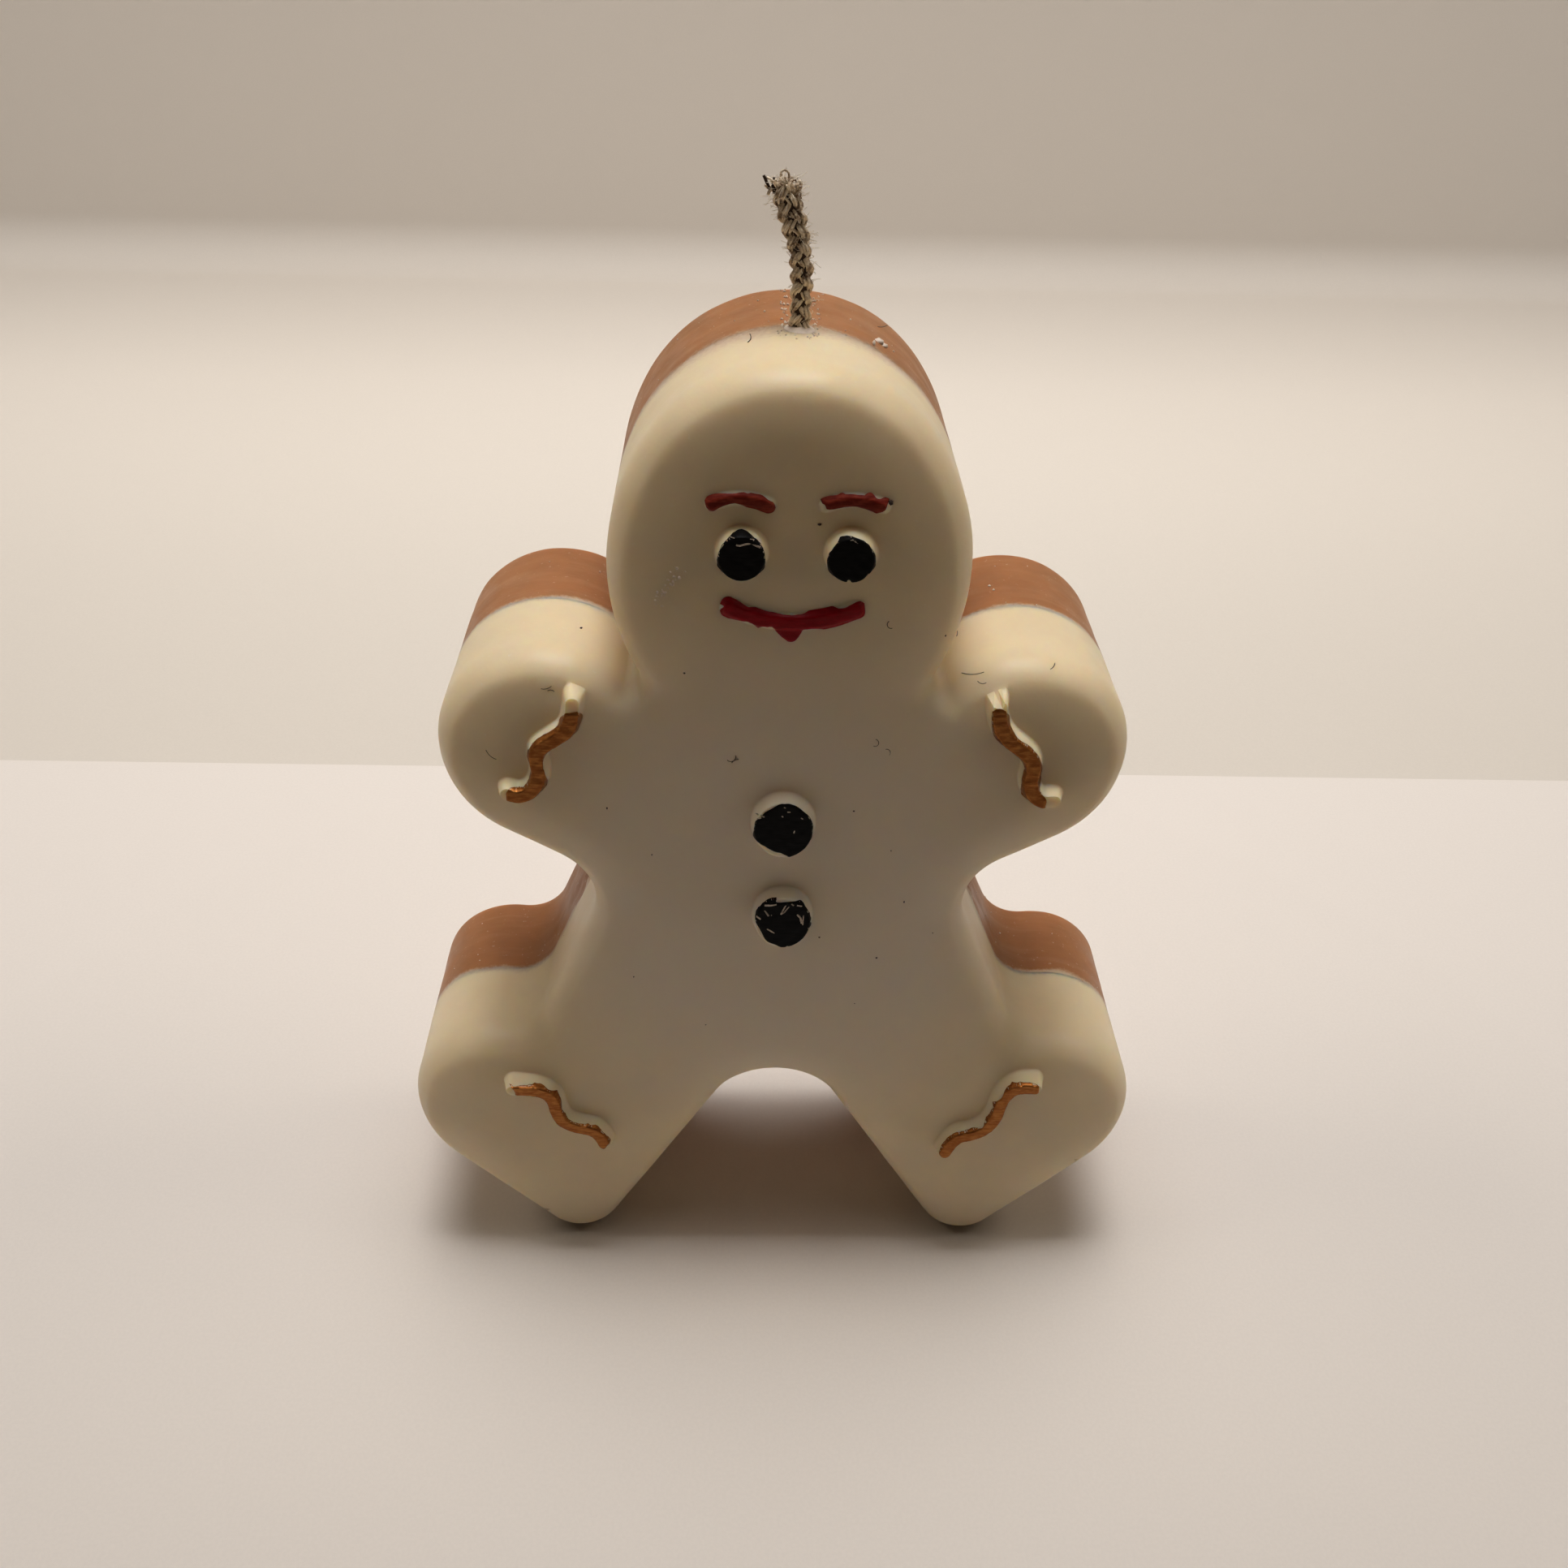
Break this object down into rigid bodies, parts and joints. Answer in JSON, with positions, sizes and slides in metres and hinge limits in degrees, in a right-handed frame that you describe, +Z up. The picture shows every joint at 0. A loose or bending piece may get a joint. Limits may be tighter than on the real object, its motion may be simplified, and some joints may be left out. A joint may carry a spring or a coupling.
{
  "type": "gingerbread man candle",
  "caption": "Layered wax candle shaped as a standing gingerbread man, with a raised painted face, buttons and icing squiggles, and a short braided wick.",
  "frame": {"origin": "on the surface it stands on, under the middle of its box", "axes": "+Z up through the head and wick, -Y the way the painted face looks, +X towards the right arm as seen from in front"},
  "size_m": [0.0614, 0.021, 0.0897],
  "materials": {
    "cream_wax": "satin cast soy wax, cream, slightly translucent",
    "brown_wax": "satin cast soy wax, light gingerbread brown, slightly translucent",
    "cotton_wick": "waxed braided cotton, grey-beige, fuzzy",
    "black_paint": "hand-brushed black paint, low sheen, chipped",
    "rust_paint": "hand-brushed rust-brown paint, streaky",
    "red_paint": "hand-brushed deep red paint",
    "gold_paint": "hand-brushed bronze-gold paint"
  },
  "bodies": {
    "root": {"front_wax": "cream_wax", "back_wax": "brown_wax", "wick": "cotton_wick", "eye_left": "black_paint", "brow_left": "rust_paint", "arm_squiggle_left": "gold_paint", "leg_squiggle_left": "gold_paint", "eye_right": "black_paint", "brow_right": "rust_paint", "arm_squiggle_right": "gold_paint", "leg_squiggle_right": "gold_paint", "mouth": "red_paint", "button_upper": "black_paint", "button_lower": "black_paint"}
  },
  "joints": []
}
